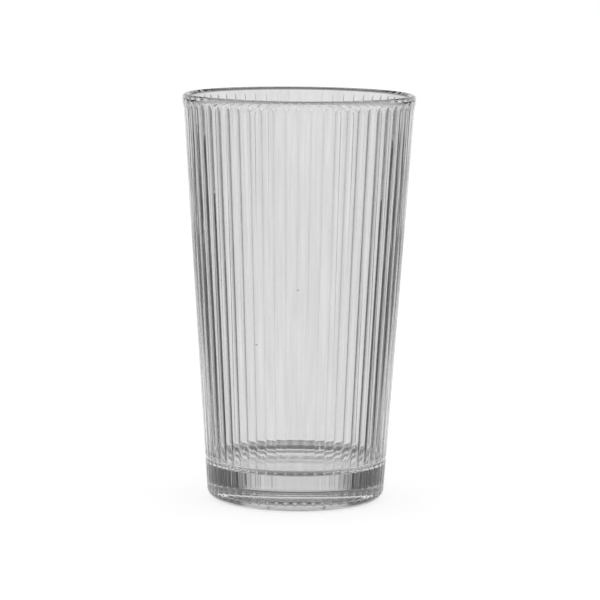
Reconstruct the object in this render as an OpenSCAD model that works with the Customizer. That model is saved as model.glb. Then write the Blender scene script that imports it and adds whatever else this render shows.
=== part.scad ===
// Tall tumbler of clear pressed glass, with upright ribs all round, a smooth
// rounded lip and a thick solid base. It is one piece of glass. Its three
// zones are drawn apart, cut where the ribs end under the lip and at the inner
// floor, and they meet face to face. Lengths are in millimetres. The origin is
// the middle of the underside, and the glass stands along Z.

/* [Lip] */
// Height from the table to the top of the lip
height = 140; // [110:1:180]
// Outer diameter of the lip at its widest
lip_d = 80.2; // [72:0.1:92]
// Radius of the rounded top edge, half the thickness of the lip
lip_r = 1.25; // [0.8:0.05:1.6]
// Radius of the bead that swells out under the top edge
bead_r = 3; // [2:0.1:4]
// How far the bead stands out past the ribs
bead_out = 0.55; // [0.3:0.05:1]
// Angle above level at which the top edge takes over from the bead
merge_angle = 25; // [10:1:45]

/* [Ribbed wall] */
// Diameter over the ribs, carried on down to the table
foot_d = 60.7; // [50:0.1:70]
// Thickness of the wall at the fine groove, measured over a rib
wall_t = 3.6; // [2.5:0.1:6]
// Number of ribs round the glass
rib_count = 60; // [48:1:72]
// Radius of the rounded face of a rib
rib_r = 5; // [4:0.1:7]
// Height of the fine groove that parts the ribs of the wall from the base's
groove_z = 14.5; // [13.5:0.1:25]
// Radius of the fine groove
groove_r = 0.8; // [0.5:0.05:1.2]
// Depth of the fine groove under the crests of the ribs
groove_depth = 0.28; // [0.15:0.01:0.4]

/* [Base] */
// Thickness of the solid glass under the inner floor
floor_t = 12.2; // [7:0.1:12.5]
// Radius of the corner between the inner floor and the inner wall
corner_r = 3.8; // [2:0.1:7]
// Radius of the curve of the heel
heel_r = 4.4; // [4.2:0.1:6]
// Width of the heel, from the ribs in to the flat ring
heel_w = 3.95; // [3:0.05:4]
// Width of the flat ring that the glass stands on
ring_w = 3.4; // [2:0.1:6]
// Depth of the shallow hollow inside that ring
hollow_depth = 0.3; // [0.2:0.1:2]

/* [Hidden] */
// Number of sides that stand for a full turn of a round surface
$fn = 120;

// The top edge and the bead are two circles that touch at the merge angle
bead_x = lip_d / 2 - bead_r;
lip_x = bead_x + (bead_r - lip_r) * cos(merge_angle);
merge_x = bead_x + bead_r * cos(merge_angle);
lip_z = height - lip_r;
bead_z = lip_z - (bead_r - lip_r) * sin(merge_angle);
merge_z = bead_z + bead_r * sin(merge_angle);

// The crests of the ribs lean out from the table until they meet the bead
foot_x = foot_d / 2;
rib_top_x = lip_d / 2 - bead_out;
rib_top_z = bead_z - sqrt(pow(bead_r, 2) - pow(bead_r - bead_out, 2));
lean = atan((rib_top_x - foot_x) / rib_top_z);

// The inner wall leans from the level of the groove to the top edge's inside
inner_foot_x = foot_x + groove_z * tan(lean) - wall_t;
inner_reach = norm([lip_x - inner_foot_x, lip_z - groove_z]);
inner_lean = atan((lip_x - inner_foot_x) / (lip_z - groove_z)) - asin(lip_r / inner_reach);
inner_top_x = lip_x - lip_r * cos(inner_lean);
inner_top_z = lip_z + lip_r * sin(inner_lean);

// Middle of the round corner that touches the inner floor and the inner wall
corner_z = floor_t + corner_r;
corner_x = inner_x(corner_z) - corner_r / cos(inner_lean);

// The hollow in the underside is part of a ball and ends at the flat ring
stand_x = foot_x - heel_w;
hollow_x = stand_x - ring_w;
hollow_r = (pow(hollow_x, 2) + pow(hollow_depth, 2)) / (2 * hollow_depth);

// Distance of the inner wall from the middle at a height
function inner_x(z) = inner_foot_x + (z - groove_z) * tan(inner_lean);

// Ribbed cone between two heights: a core, and leaning round bars side by
// side on it, whose outer faces are the ribs
module ribbed_cone(low_z, high_z) {
    intersection() {
        union() {
            for (i = [0 : rib_count - 1])
                rotate([0, 0, i * 360 / rib_count])
                    translate([foot_x, 0, 0])
                        rotate([0, lean, 0])
                            translate([-rib_r, 0, -rib_r])
                                cylinder(r = rib_r, h = rib_top_z / cos(lean) + 2 * rib_r);
            cylinder(r1 = foot_x - rib_r, r2 = rib_top_x - rib_r, h = rib_top_z);
        }
        translate([0, 0, low_z])
            cylinder(r = lip_d, h = high_z - low_z);
    }
}

// Full circle of the bead, in half section
module bead_section() {
    translate([bead_x, bead_z])
        circle(r = bead_r);
}

// Smooth lip above the ribs: the bead turns over into the round top edge
module rim() {
    color("gainsboro")
        rotate_extrude()
            difference() {
                intersection() {
                    union() {
                        translate([lip_x, lip_z])
                            circle(r = lip_r);
                        intersection() {
                            bead_section();
                            polygon([
                                [bead_x, bead_z],
                                [merge_x, merge_z],
                                [lip_d, merge_z],
                                [lip_d, bead_z - bead_r],
                                [bead_x, bead_z - bead_r]
                            ]);
                        }
                        translate([bead_x, rib_top_z])
                            square([lip_x - bead_x, lip_z - rib_top_z]);
                    }
                    translate([0, rib_top_z])
                        square([lip_d, height - rib_top_z]);
                }
                polygon([
                    [0, 0],
                    [inner_x(0), 0],
                    [inner_top_x, inner_top_z],
                    [0, inner_top_z]
                ]);
            }
}

// Space inside the wall, with its round corner at the inner floor
module cavity() {
    rotate_extrude() {
        translate([corner_x, corner_z])
            circle(r = corner_r);
        polygon([
            [0, floor_t],
            [corner_x, floor_t],
            [corner_x + corner_r * cos(inner_lean), corner_z - corner_r * sin(inner_lean)],
            [inner_top_x, inner_top_z],
            [0, inner_top_z]
        ]);
    }
}

// Leaning ribbed wall from the inner floor to the lip, with its fine groove
module ribbed_wall() {
    color("gainsboro")
        difference() {
            union() {
                ribbed_cone(floor_t, rib_top_z);
                rotate_extrude()
                    intersection() {
                        bead_section();
                        translate([bead_x, rib_top_z - bead_r])
                            square([bead_r, bead_r]);
                    }
            }
            cavity();
            rotate_extrude()
                translate([foot_x + groove_z * tan(lean) - groove_depth + groove_r, groove_z])
                    circle(r = groove_r);
        }
}

// Solid glass under the inner floor, with its heel and hollow underside
module base() {
    color("gainsboro")
        difference() {
            intersection() {
                ribbed_cone(0, floor_t);
                rotate_extrude() {
                    translate([stand_x, heel_r])
                        circle(r = heel_r);
                    square([stand_x, heel_r]);
                    translate([0, heel_r])
                        square([foot_d, floor_t]);
                }
            }
            translate([0, 0, hollow_depth - hollow_r])
                sphere(r = hollow_r);
        }
}

rim();
ribbed_wall();
base();
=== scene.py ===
"""Tall drinking glass of clear pressed glass, modelled and lit in Blender.

One continuous piece of glass stands in for the three zones of the CAD model.
Its half section is drawn edge by edge, spun into one rib, pressed to shape and
repeated all round. All lengths are in metres, in the frame of the CAD model.
"""
import math

import bmesh
import bpy
from mathutils import Euler, Matrix, Vector


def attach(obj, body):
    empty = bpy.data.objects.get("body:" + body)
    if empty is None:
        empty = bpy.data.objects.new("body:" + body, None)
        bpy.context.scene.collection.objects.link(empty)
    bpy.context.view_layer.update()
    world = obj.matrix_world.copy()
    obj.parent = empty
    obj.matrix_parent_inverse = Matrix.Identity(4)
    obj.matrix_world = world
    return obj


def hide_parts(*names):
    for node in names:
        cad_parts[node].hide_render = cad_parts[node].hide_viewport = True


bl_info = {
    "name": "Tall ribbed glass",
    "version": (1, 0, 0),
    "blender": (4, 5, 0),
    "location": "View3D > Sidebar > Glass",
    "description": "Models a tall tumbler of ribbed pressed glass and the stage it stands on",
    "category": "Object",
}

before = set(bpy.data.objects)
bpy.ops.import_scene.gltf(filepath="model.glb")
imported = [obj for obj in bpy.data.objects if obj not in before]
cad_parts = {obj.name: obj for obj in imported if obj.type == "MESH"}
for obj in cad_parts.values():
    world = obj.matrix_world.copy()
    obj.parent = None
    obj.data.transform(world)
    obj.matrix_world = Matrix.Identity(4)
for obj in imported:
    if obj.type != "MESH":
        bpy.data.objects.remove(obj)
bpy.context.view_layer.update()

MM = 0.001


class GlassSizes(bpy.types.PropertyGroup):
    """Sizes of the glass as in the CAD source, then four that only shape its faces here."""

    height: bpy.props.FloatProperty(
        name="Height", description="From the table to the top of the lip",
        default=140 * MM, unit="LENGTH")
    lip_width: bpy.props.FloatProperty(
        name="Lip width", description="Outer diameter of the lip at its widest",
        default=80.2 * MM, unit="LENGTH")
    lip_round: bpy.props.FloatProperty(
        name="Lip round", description="Radius of the top edge",
        default=1.25 * MM, unit="LENGTH")
    bead_round: bpy.props.FloatProperty(
        name="Bead round", description="Radius of the bead under the top edge",
        default=3 * MM, unit="LENGTH")
    bead_proud: bpy.props.FloatProperty(
        name="Bead proud", description="How far the bead stands out past the ribs",
        default=0.55 * MM, unit="LENGTH")
    merge_angle: bpy.props.FloatProperty(
        name="Merge angle", description="Angle at which the top edge takes over from the bead",
        default=math.radians(25), subtype="ANGLE")
    foot_width: bpy.props.FloatProperty(
        name="Foot width", description="Diameter over the ribs, carried on down to the table",
        default=60.7 * MM, unit="LENGTH")
    wall: bpy.props.FloatProperty(
        name="Wall", description="Thickness of the wall at the groove, over a rib",
        default=3.6 * MM, unit="LENGTH")
    ribs: bpy.props.IntProperty(
        name="Ribs", description="Number of ribs round the glass",
        default=60, min=48, max=72)
    rib_round: bpy.props.FloatProperty(
        name="Rib round", description="Radius that sets how deep the valleys of the ribs are",
        default=5 * MM, unit="LENGTH")
    groove_height: bpy.props.FloatProperty(
        name="Groove height", description="Height of the fine groove round the base",
        default=14.5 * MM, unit="LENGTH")
    groove_round: bpy.props.FloatProperty(
        name="Groove round", description="Radius of the groove",
        default=0.8 * MM, unit="LENGTH")
    groove_depth: bpy.props.FloatProperty(
        name="Groove depth", description="Depth of the groove under the crests of the ribs",
        default=0.28 * MM, unit="LENGTH")
    floor_thickness: bpy.props.FloatProperty(
        name="Floor", description="Thickness of the solid glass under the inner floor",
        default=12.2 * MM, unit="LENGTH")
    corner_round: bpy.props.FloatProperty(
        name="Corner round", description="Radius of the inner corner at the floor",
        default=3.8 * MM, unit="LENGTH")
    heel_round: bpy.props.FloatProperty(
        name="Heel round", description="Radius of the curve of the heel",
        default=4.4 * MM, unit="LENGTH")
    heel_width: bpy.props.FloatProperty(
        name="Heel width", description="From the ribs in to the flat ring",
        default=3.95 * MM, unit="LENGTH")
    ring_width: bpy.props.FloatProperty(
        name="Ring width", description="Width of the flat ring that the glass stands on",
        default=3.4 * MM, unit="LENGTH")
    hollow_depth: bpy.props.FloatProperty(
        name="Hollow depth", description="Depth of the shallow hollow inside the ring",
        default=0.3 * MM, unit="LENGTH")
    rib_power: bpy.props.FloatProperty(
        name="Rib power", description="Power of a rib's curve; a higher one gives a flatter "
        "crest and a sharper valley", default=4)
    fade_length: bpy.props.FloatProperty(
        name="Fade length", description="Length over which the valleys run out at the lip",
        default=1.2 * MM, unit="LENGTH")
    rib_melt: bpy.props.FloatProperty(
        name="Rib melt", description="How far two ribs run into each other in the valley",
        default=0.08 * MM, unit="LENGTH")
    melt: bpy.props.FloatProperty(
        name="Melt", description="How far two faces run into each other where they meet",
        default=0.2 * MM, unit="LENGTH")


class GlassFinish(bpy.types.PropertyGroup):
    """Colours and shine of the glass."""

    body: bpy.props.StringProperty(
        name="Body", description="Colour of the clear glass", default="#FFFFFF")
    streak: bpy.props.StringProperty(
        name="Streak", description="Colour of the faint streaks in it", default="#F5F5F5")
    seed: bpy.props.StringProperty(
        name="Seed", description="Colour of the small seeds in it", default="#8C8C8C")
    loss: bpy.props.FloatProperty(
        name="Loss", description="How fast the glass takes light away, for each metre",
        default=5.0)
    ior: bpy.props.FloatProperty(
        name="IOR", description="Index of refraction of soda-lime glass", default=1.52)
    roughness: bpy.props.FloatProperty(
        name="Roughness", description="Roughness of the fire-polished face", default=0.0)


class StageLook(bpy.types.PropertyGroup):
    """Floor, surround and light of the stage."""

    floor: bpy.props.StringProperty(
        name="Floor", description="Colour of the floor", default="#A6A6A6")
    glow: bpy.props.FloatProperty(
        name="Floor glow", description="Light that the floor gives off, so that it comes out "
        "white around its shadow", default=0.74)
    surround: bpy.props.FloatProperty(
        name="Surround", description="Strength of the light from all round", default=0.8)


def linear(hex_colour):
    """sRGB hex as linear red, green, blue and full alpha."""
    parts = [int(hex_colour[i:i + 2], 16) / 255 for i in (1, 3, 5)]
    return [c / 12.92 if c <= 0.04045 else ((c + 0.055) / 1.055) ** 2.4 for c in parts] + [1.0]


def add_node(tree, kind, inputs=None, **settings):
    """Adds a node. For a socket, inputs gives a value or the socket to link."""
    node = tree.nodes.new(kind)
    for name, value in settings.items():
        setattr(node, name, value)
    for name, value in (inputs or {}).items():
        socket = node.inputs[name]
        if isinstance(value, bpy.types.NodeSocket):
            tree.links.new(value, socket)
        else:
            socket.default_value = value
    return node


def soft_min(a, b, reach):
    """The lower of two, rounded where they are within reach of each other."""
    near = max(reach - abs(a - b), 0) / reach
    return min(a, b) - near * near * reach / 4


def soft_max(a, b, reach):
    """The higher of two, rounded where they are within reach of each other."""
    return -soft_min(-a, -b, reach)


def ease(share):
    """Rises smoothly from 0 to 1."""
    share = min(max(share, 0), 1)
    return share * share * (3 - 2 * share)


# Where the half section has its points. The hollow underneath and the inner floor are cut
# at shares of their width. The other heights are in millimetres: on the base, about the
# groove, about the top of the ribs, and how far from both the plain wall starts and ends.
HOLLOW_SHARES = (0, 0.12, 0.3, 0.5, 0.7, 0.85, 0.95, 1)
FLOOR_SHARES = (0.85, 0.6, 0.35, 0.15, 0)
BASE_HEIGHTS = (2.0, 2.16, 2.32, 2.48, 2.64, 2.8, 2.96, 3.12, 3.3, 3.6, 4.2, 7, 10)
GROOVE_HEIGHTS = (-1.3, -0.9, -0.7, -0.56, -0.4, -0.2, 0, 0.2, 0.4, 0.56, 0.7, 0.9, 1.3)
RIB_TOP_HEIGHTS = (-1.7, -1.2, -0.8, -0.4, 0, 0.3, 0.55, 0.8, 1.05, 1.3, 1.55)
WALL_OVER_GROOVE = 5
WALL_UNDER_TOP = 3.5
# Steps of the wall and of each curve, and the angle at which the heel's arc ends
WALL_STEPS = 16
HEEL_STEPS = 6
HEEL_END = -36
BEAD_STEPS = 3
LIP_STEPS = 14
INSIDE_STEPS = 17
CORNER_STEPS = 8


class Section:
    """Half section of the glass, worked out from its sizes."""

    def __init__(self, s):
        self.s = s
        self.bead_x = s.lip_width / 2 - s.bead_round
        step = s.bead_round - s.lip_round
        self.lip_x = self.bead_x + step * math.cos(s.merge_angle)
        self.lip_z = s.height - s.lip_round
        self.bead_z = self.lip_z - step * math.sin(s.merge_angle)
        self.foot_x = s.foot_width / 2
        top_x = s.lip_width / 2 - s.bead_proud
        self.rib_top_z = self.bead_z - math.sqrt(
            s.bead_round ** 2 - (s.bead_round - s.bead_proud) ** 2)
        self.slope = (top_x - self.foot_x) / self.rib_top_z
        self.swell_z = self.bead_z - s.bead_round
        self.inner_foot_x = self.crest(s.groove_height) - s.wall
        rise = self.lip_z - s.groove_height
        out = self.lip_x - self.inner_foot_x
        self.inner_lean = math.atan2(out, rise) - math.asin(s.lip_round / math.hypot(out, rise))
        self.corner_z = s.floor_thickness + s.corner_round
        self.corner_x = self.inner(self.corner_z) - s.corner_round / math.cos(self.inner_lean)
        self.stand_x = self.foot_x - s.heel_width
        self.hollow_x = self.stand_x - s.ring_width
        self.hollow_round = (self.hollow_x ** 2 + s.hollow_depth ** 2) / (2 * s.hollow_depth)

    def crest(self, z):
        """Distance of the crests of the ribs from the axis at a height."""
        return self.foot_x + z * self.slope

    def inner(self, z):
        """Distance of the inner wall from the axis at a height."""
        return self.inner_foot_x + (z - self.s.groove_height) * math.tan(self.inner_lean)

    def ribs(self, angle, z):
        """Distance of the ribbed face from the axis, at an angle from a crest."""
        half = math.pi / self.s.ribs
        crest = self.crest(z)
        middle = crest - self.s.rib_round
        inside = self.s.rib_round ** 2 - (middle * math.sin(half)) ** 2
        depth = crest - middle * math.cos(half) - math.sqrt(max(inside, 0))

        def rib(turn):
            return crest - depth * (abs(turn) / half) ** self.s.rib_power

        return soft_max(rib(angle), rib(2 * half - angle), self.s.rib_melt)

    def outer(self, angle, z):
        """Distance of the outer face from the axis, from the table to the bead."""
        s = self.s
        # The valleys run out softly where the ribs end at the lip
        left = 1 - ease((z - self.bead_z + s.fade_length) / s.fade_length)
        face = self.crest(z) + (self.ribs(angle, z) - self.crest(z)) * left
        if z < s.heel_round:
            heel = self.stand_x + math.sqrt(s.heel_round ** 2 - (s.heel_round - z) ** 2)
            face = soft_min(face, heel, s.melt)
        off = z - s.groove_height
        if abs(off) < s.groove_round:
            groove = (self.crest(s.groove_height) - s.groove_depth + s.groove_round
                      - math.sqrt(s.groove_round ** 2 - off ** 2))
            face = soft_min(face, groove, s.melt)
        # Under the lip the face swells out to the bead
        rise = (z - self.swell_z) / (self.bead_z - self.swell_z)
        face += (s.lip_width / 2 - self.crest(self.bead_z)) * ease(rise)
        return face

    def points(self):
        """Corners of the half section, from the underside, up the outside and down the inside."""
        s = self.s
        found = []

        def arc(x, z, radius, start, end, steps):
            for i in range(steps + 1):
                turn = math.radians(start + (end - start) * i / steps)
                found.append((x + radius * math.cos(turn), z + radius * math.sin(turn)))

        hollow_z = s.hollow_depth - self.hollow_round
        for share in HOLLOW_SHARES:
            x = self.hollow_x * share
            found.append((x, hollow_z + math.sqrt(self.hollow_round ** 2 - x * x)))
        arc(self.stand_x, s.heel_round, s.heel_round, -90, HEEL_END, HEEL_STEPS)
        heights = [h * MM for h in BASE_HEIGHTS]
        heights += [s.groove_height + h * MM for h in GROOVE_HEIGHTS]
        low, high = s.groove_height + WALL_OVER_GROOVE * MM, self.rib_top_z - WALL_UNDER_TOP * MM
        heights += [low + (high - low) * i / WALL_STEPS for i in range(WALL_STEPS + 1)]
        heights += [self.rib_top_z + h * MM for h in RIB_TOP_HEIGHTS]
        found += [(self.outer(0, z), z) for z in heights]
        merge = math.degrees(s.merge_angle)
        lean = math.degrees(self.inner_lean)
        arc(self.bead_x, self.bead_z, s.bead_round, 0, merge, BEAD_STEPS)
        # The bead's last point is the first of the top edge
        found.pop()
        arc(self.lip_x, self.lip_z, s.lip_round, merge, 180 - lean, LIP_STEPS)
        high, low = found[-1][1], self.corner_z - s.corner_round * math.sin(self.inner_lean)
        found += [(self.inner(z), z) for z in
                  (high + (low - high) * i / INSIDE_STEPS for i in range(1, INSIDE_STEPS))]
        arc(self.corner_x, self.corner_z, s.corner_round, -lean, -90, CORNER_STEPS)
        for share in FLOOR_SHARES:
            found.append((self.corner_x * share, s.floor_thickness))
        return found


# Shares of one rib at which its face is drawn, from crest to crest, closest in the valley
RIB_SHARES = (0.14, 0.26, 0.35, 0.42, 0.465, 0.49, 0.51, 0.535, 0.58, 0.65, 0.74, 0.86, 1)
# Points nearer than this are made one
WELD = 0.002 * MM
# A point this far inside the outer face belongs to the inside
PLAY = 0.01 * MM


def model_glass(section):
    """Draws the half section, spins it over one rib, presses the rib and repeats it."""
    bpy.ops.object.select_all(action="DESELECT")
    bpy.ops.mesh.primitive_plane_add(size=2 * MM, location=(0, 0, 0))
    glass = bpy.context.object
    glass.name = glass.data.name = "pressed_glass_tumbler"

    bpy.ops.object.mode_set(mode="EDIT")
    bpy.ops.mesh.select_all(action="SELECT")
    bpy.ops.mesh.merge(type="CENTER")
    here = Vector((0, 0, 0))
    for number, (x, z) in enumerate(section.points()):
        there = Vector((x, 0, z))
        if number == 0:
            bpy.ops.transform.translate(value=there - here)
        else:
            bpy.ops.mesh.extrude_vertices_move(TRANSFORM_OT_translate={"value": there - here})
        here = there

    bpy.ops.mesh.select_all(action="SELECT")
    pitch = 2 * math.pi / section.s.ribs
    turned = 0
    for share in RIB_SHARES:
        bpy.ops.mesh.spin(steps=1, angle=(share - turned) * pitch, center=(0, 0, 0),
                          axis=(0, 0, 1))
        turned = share
    press_rib(glass, section, pitch)

    bpy.ops.mesh.select_all(action="SELECT")
    bpy.ops.mesh.spin(steps=section.s.ribs - 1, dupli=True,
                      angle=2 * math.pi - pitch, center=(0, 0, 0), axis=(0, 0, 1))
    bpy.ops.mesh.select_all(action="SELECT")
    bpy.ops.mesh.remove_doubles(threshold=WELD)
    bpy.ops.mesh.normals_make_consistent(inside=False)
    bpy.ops.mesh.select_all(action="DESELECT")
    bpy.ops.object.mode_set(mode="OBJECT")
    bpy.ops.object.shade_smooth()
    return glass


def press_rib(glass, section, pitch):
    """Presses the outer face of the spun strip in, from the crests to the valley."""
    strip = bmesh.from_edit_mesh(glass.data)
    for vert in strip.verts:
        x, y, z = vert.co
        if z > section.bead_z:
            continue
        out = math.hypot(x, y)
        if out < section.outer(0, z) - PLAY:
            continue
        angle = abs(math.atan2(y, x))
        share = section.outer(min(angle, pitch), z) / out
        vert.co.x, vert.co.y = x * share, y * share
    bmesh.update_edit_mesh(glass.data)


# Streaks of the melt run up the wall, and seeds are tiny bubbles left in it, far apart.
# A seed fades out from its core to its edge, both measured from its middle.
STREAK_WIDTH = 2.0833 * MM
STREAK_LENGTH = 52 * MM
STREAK_FADE = (0.35, 0.65)
SEED_SPACING = 16.667 * MM
SEED_CORE = 0.2 * MM
SEED_EDGE = 0.367 * MM


def pressed_glass(finish):
    """Soda-lime glass, pressed in a mould and fire-polished: clear, hard and bright."""
    material = bpy.data.materials.new("pressed_soda_lime_glass")
    material.use_nodes = True
    tree = material.node_tree
    tree.nodes.clear()
    place = add_node(tree, "ShaderNodeTexCoord")
    stretch = add_node(tree, "ShaderNodeMapping", {
        "Vector": place.outputs["Object"], "Scale": (1, 1, STREAK_WIDTH / STREAK_LENGTH)})
    noise = add_node(tree, "ShaderNodeTexNoise", {
        "Vector": stretch.outputs["Vector"], "Scale": 1 / STREAK_WIDTH, "Detail": 2.0,
        "Roughness": 0.5})
    streaks = add_node(tree, "ShaderNodeMapRange", {
        "Value": noise.outputs["Fac"], "From Min": STREAK_FADE[0], "From Max": STREAK_FADE[1]})
    tone = add_node(tree, "ShaderNodeMix", {
        0: streaks.outputs["Result"], 6: linear(finish.body), 7: linear(finish.streak)},
        data_type="RGBA")
    cells = add_node(tree, "ShaderNodeTexVoronoi", {
        "Vector": place.outputs["Object"], "Scale": 1 / SEED_SPACING})
    seeds = add_node(tree, "ShaderNodeMapRange", {
        "Value": cells.outputs["Distance"], "From Min": SEED_CORE / SEED_SPACING,
        "From Max": SEED_EDGE / SEED_SPACING, "To Min": 1.0, "To Max": 0.0})
    tone = add_node(tree, "ShaderNodeMix", {
        0: seeds.outputs["Result"], 6: tone.outputs[2], 7: linear(finish.seed)},
        data_type="RGBA")
    shader = add_node(tree, "ShaderNodeBsdfPrincipled", {
        "Base Color": tone.outputs[2],
        "Roughness": finish.roughness,
        "IOR": finish.ior,
        "Transmission Weight": 1.0,
    })
    # Next to nothing is lost in the wall, but the base is thick enough to look darker
    thickness = add_node(tree, "ShaderNodeVolumeAbsorption", {
        "Color": (0, 0, 0, 1), "Density": finish.loss})
    add_node(tree, "ShaderNodeOutputMaterial", {
        "Surface": shader.outputs["BSDF"], "Volume": thickness.outputs["Volume"]})
    return material


def build_glass():
    """Models the glass, dresses it and lets it stand in for the three zones of the CAD."""
    scene = bpy.context.scene
    section = Section(scene.glass_sizes)
    glass = model_glass(section)
    glass.data.materials.append(pressed_glass(scene.glass_finish))
    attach(glass, "root")
    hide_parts("rim", "ribbed_wall", "base")


class OBJECT_OT_tall_glass(bpy.types.Operator):
    """Model the tall glass and dress it in clear pressed glass"""

    bl_idname = "object.tall_glass_model"
    bl_label = "Model the glass"
    bl_options = {"REGISTER", "UNDO"}

    def execute(self, context):
        build_glass()
        return {"FINISHED"}


# Camera as found from the photo: where it stands, how it is turned and its lens
CAMERA_ROUND = math.radians(3.2)
CAMERA_FAR = 1110.967 * MM
CAMERA_HIGH = 212.705 * MM
CAMERA_DOWN = 0.128723
CAMERA_YAW = -0.000854
CAMERA_ROLL = 0.010021
CAMERA_LENS = 195.034
CAMERA_SENSOR = 36
CAMERA_REACH = (0.01, 20)


def place_camera():
    """Puts the camera where the photo was taken from."""
    data = bpy.data.cameras.new("photo_camera")
    camera = bpy.data.objects.new("photo_camera", data)
    bpy.context.scene.collection.objects.link(camera)
    data.sensor_width = CAMERA_SENSOR
    data.lens = CAMERA_LENS
    data.clip_start, data.clip_end = CAMERA_REACH
    turn = (Matrix.Rotation(CAMERA_ROUND, 4, "Z")
            @ Matrix.Translation((0, -CAMERA_FAR, CAMERA_HIGH))
            @ Euler((math.pi / 2 - CAMERA_DOWN, 0, CAMERA_YAW)).to_matrix().to_4x4()
            @ Matrix.Rotation(CAMERA_ROLL, 4, "Z"))
    camera.matrix_world = turn
    bpy.context.scene.camera = camera


def floor_material(look):
    """Matt white paper that glows a little and still takes the shadow of the glass."""
    material = bpy.data.materials.new("white_paper_sweep")
    material.use_nodes = True
    tree = material.node_tree
    tree.nodes.clear()
    matt = add_node(tree, "ShaderNodeBsdfDiffuse", {"Color": linear(look.floor)})
    glow = add_node(tree, "ShaderNodeEmission", {"Color": (1, 1, 1, 1), "Strength": look.glow})
    both = add_node(tree, "ShaderNodeAddShader")
    tree.links.new(matt.outputs[0], both.inputs[0])
    tree.links.new(glow.outputs[0], both.inputs[1])
    add_node(tree, "ShaderNodeOutputMaterial", {"Surface": both.outputs[0]})
    return material


# Brightness of the surround that the glass shows, ring by ring. Each ring starts at a
# height in degrees above level, and its steps are pairs of a turn from straight behind
# the glass as the camera sees it, in degrees to either side, and a level. The dark flags
# between the bright panels draw the lines along the ribs. A ring fades in over RING_BLEND
# degrees to either side of its start.
SURROUND = (
    (-90, ((0, 0.25), (50, 0.3), (75, 0.3), (95, 0.6), (140, 0.95), (180, 0.95))),
    (-64, ((0, 0.03), (16, 0.05), (26, 0.35), (62, 0.35), (75, 0.25), (95, 0.6), (140, 0.95),
           (180, 0.95))),
    (-45, ((0, 0.1), (16, 0.12), (26, 0.45), (60, 0.45), (75, 0.2), (95, 0.6), (140, 0.95),
           (180, 0.95))),
    (-32, ((0, 0.3), (16, 0.55), (28, 0.82), (60, 0.82), (74, 0.08), (84, 0.2), (115, 0.6),
           (180, 0.8))),
    (-19, ((0, 0.8), (10, 0.74), (22, 0.5), (32, 0.03), (70, 0.03), (84, 0.3), (98, 0.82),
           (140, 0.95), (180, 0.9))),
    (-12, ((0, 0.81), (12, 0.83), (20, 0.74), (27, 0.06), (44, 0.02), (64, 0.02), (78, 0.2),
           (98, 0.6), (140, 0.75), (180, 0.72))),
    (-6, ((0, 0.81), (15, 0.85), (22, 0.6), (29, 0.04), (64, 0.02), (74, 0.4), (82, 0.84),
          (98, 0.84), (110, 0.4), (140, 0.25), (180, 0.22))),
    (9, ((0, 0.68), (22, 0.6), (34, 0.1), (46, 0.02), (74, 0.03), (95, 0.2), (180, 0.4))),
    (21.5, ((0, 0.04), (28, 0.04), (38, 0.35), (60, 0.4), (95, 0.35), (180, 0.4))),
    (33, ((0, 0.4), (60, 0.2), (180, 0.4))),
    (52, ((0, 0.95), (180, 0.95))),
)
RING_BLEND = 1.0


def build_world(look):
    """White to the camera. The glass shows bright panels with dark flags between them."""
    world = bpy.data.worlds.new("studio_surround")
    bpy.context.scene.world = world
    world.use_nodes = True
    tree = world.node_tree
    tree.nodes.clear()

    def maths(operation, *values):
        return add_node(tree, "ShaderNodeMath", dict(enumerate(values)),
                        operation=operation).outputs[0]

    place = add_node(tree, "ShaderNodeTexCoord")
    way = add_node(tree, "ShaderNodeSeparateXYZ", {"Vector": place.outputs["Generated"]})
    round_way = maths("ARCTAN2", way.outputs["X"], way.outputs["Y"])
    turn = maths("ABSOLUTE", maths("ADD", round_way, CAMERA_ROUND))
    share = maths("DIVIDE", turn, math.pi)
    up = maths("MULTIPLY", maths("ARCSINE", way.outputs["Z"]), 180 / math.pi)
    level = None
    for start, steps in SURROUND:
        ramp = add_node(tree, "ShaderNodeValToRGB", {"Fac": share})
        ramp.color_ramp.interpolation = "EASE"
        marks = ramp.color_ramp.elements
        while len(marks) < len(steps):
            marks.new(1.0)
        for mark, (degrees, bright) in zip(marks, steps):
            mark.position = degrees / 180
            mark.color = (bright, bright, bright, 1)
        if level is None:
            level = ramp.outputs["Color"]
            continue
        blend = add_node(tree, "ShaderNodeMapRange", {
            "Value": up, "From Min": start - RING_BLEND, "From Max": start + RING_BLEND})
        level = add_node(tree, "ShaderNodeMix", {0: blend.outputs["Result"], 6: level,
                                                 7: ramp.outputs["Color"]},
                         data_type="RGBA").outputs[2]
    path = add_node(tree, "ShaderNodeLightPath")
    by_glass = maths("MAXIMUM", path.outputs["Is Glossy Ray"], path.outputs["Is Transmission Ray"])
    plain = add_node(tree, "ShaderNodeMix", {
        0: path.outputs["Is Camera Ray"], 6: (look.surround,) * 3 + (1,), 7: (1, 1, 1, 1)},
        data_type="RGBA").outputs[2]
    shown = add_node(tree, "ShaderNodeMix", {0: by_glass, 6: plain, 7: level},
                     data_type="RGBA").outputs[2]
    light = add_node(tree, "ShaderNodeBackground", {"Color": shown, "Strength": 1.0})
    add_node(tree, "ShaderNodeOutputWorld", {"Surface": light.outputs["Background"]})


FLOOR_SIZE = 8
# Light turns many times inside the thick base before it leaves the glass
LIGHT_TURNS = 32


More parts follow.
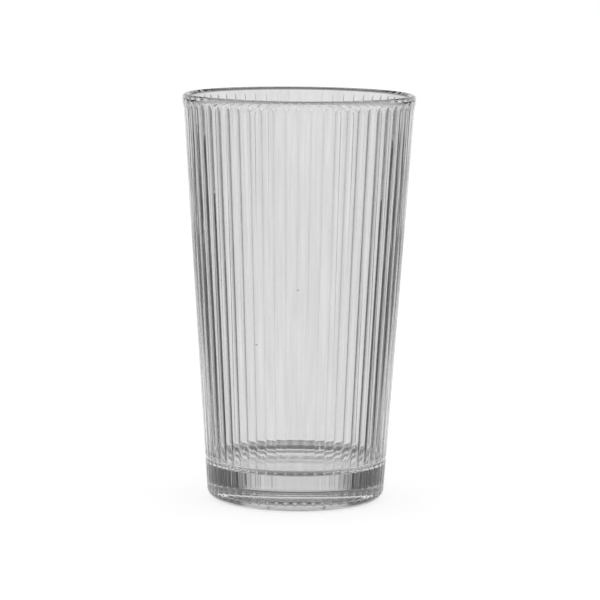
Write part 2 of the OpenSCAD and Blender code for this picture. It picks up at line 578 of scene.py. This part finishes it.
def build_stage():
    """Lays the floor, sets the surround and the camera, and lets light turn often enough."""
    look = bpy.context.scene.stage_look
    bpy.ops.object.select_all(action="DESELECT")
    bpy.ops.mesh.primitive_plane_add(size=FLOOR_SIZE, location=(0, 0, 0))
    floor = bpy.context.object
    floor.name = "stage_floor"
    floor.data.materials.append(floor_material(look))
    floor.visible_transmission = False
    build_world(look)
    place_camera()
    scene = bpy.context.scene
    scene.view_settings.view_transform = "Standard"
    scene.cycles.max_bounces = LIGHT_TURNS
    scene.cycles.glossy_bounces = LIGHT_TURNS
    scene.cycles.transmission_bounces = LIGHT_TURNS


class SCENE_OT_glass_stage(bpy.types.Operator):
    """Lay the floor, set the surround and place the camera"""

    bl_idname = "scene.tall_glass_stage"
    bl_label = "Set the stage"
    bl_options = {"REGISTER", "UNDO"}

    def execute(self, context):
        build_stage()
        return {"FINISHED"}


class VIEW3D_PT_tall_glass(bpy.types.Panel):
    """Sizes and steps of the glass"""

    bl_label = "Tall glass"
    bl_idname = "VIEW3D_PT_tall_glass"
    bl_space_type = "VIEW_3D"
    bl_region_type = "UI"
    bl_category = "Glass"

    def draw(self, context):
        layout = self.layout
        for group in (context.scene.glass_sizes, context.scene.glass_finish,
                      context.scene.stage_look):
            for name in group.__annotations__:
                layout.prop(group, name)
        layout.operator(OBJECT_OT_tall_glass.bl_idname)
        layout.operator(SCENE_OT_glass_stage.bl_idname)


CLASSES = (GlassSizes, GlassFinish, StageLook, OBJECT_OT_tall_glass, SCENE_OT_glass_stage,
           VIEW3D_PT_tall_glass)


def register():
    for each in CLASSES:
        bpy.utils.register_class(each)
    bpy.types.Scene.glass_sizes = bpy.props.PointerProperty(type=GlassSizes)
    bpy.types.Scene.glass_finish = bpy.props.PointerProperty(type=GlassFinish)
    bpy.types.Scene.stage_look = bpy.props.PointerProperty(type=StageLook)


def unregister():
    del bpy.types.Scene.stage_look
    del bpy.types.Scene.glass_finish
    del bpy.types.Scene.glass_sizes
    for each in reversed(CLASSES):
        bpy.utils.unregister_class(each)


def main():
    register()
    bpy.ops.object.tall_glass_model()
    bpy.ops.scene.tall_glass_stage()


if __name__ == "__main__":
    main()
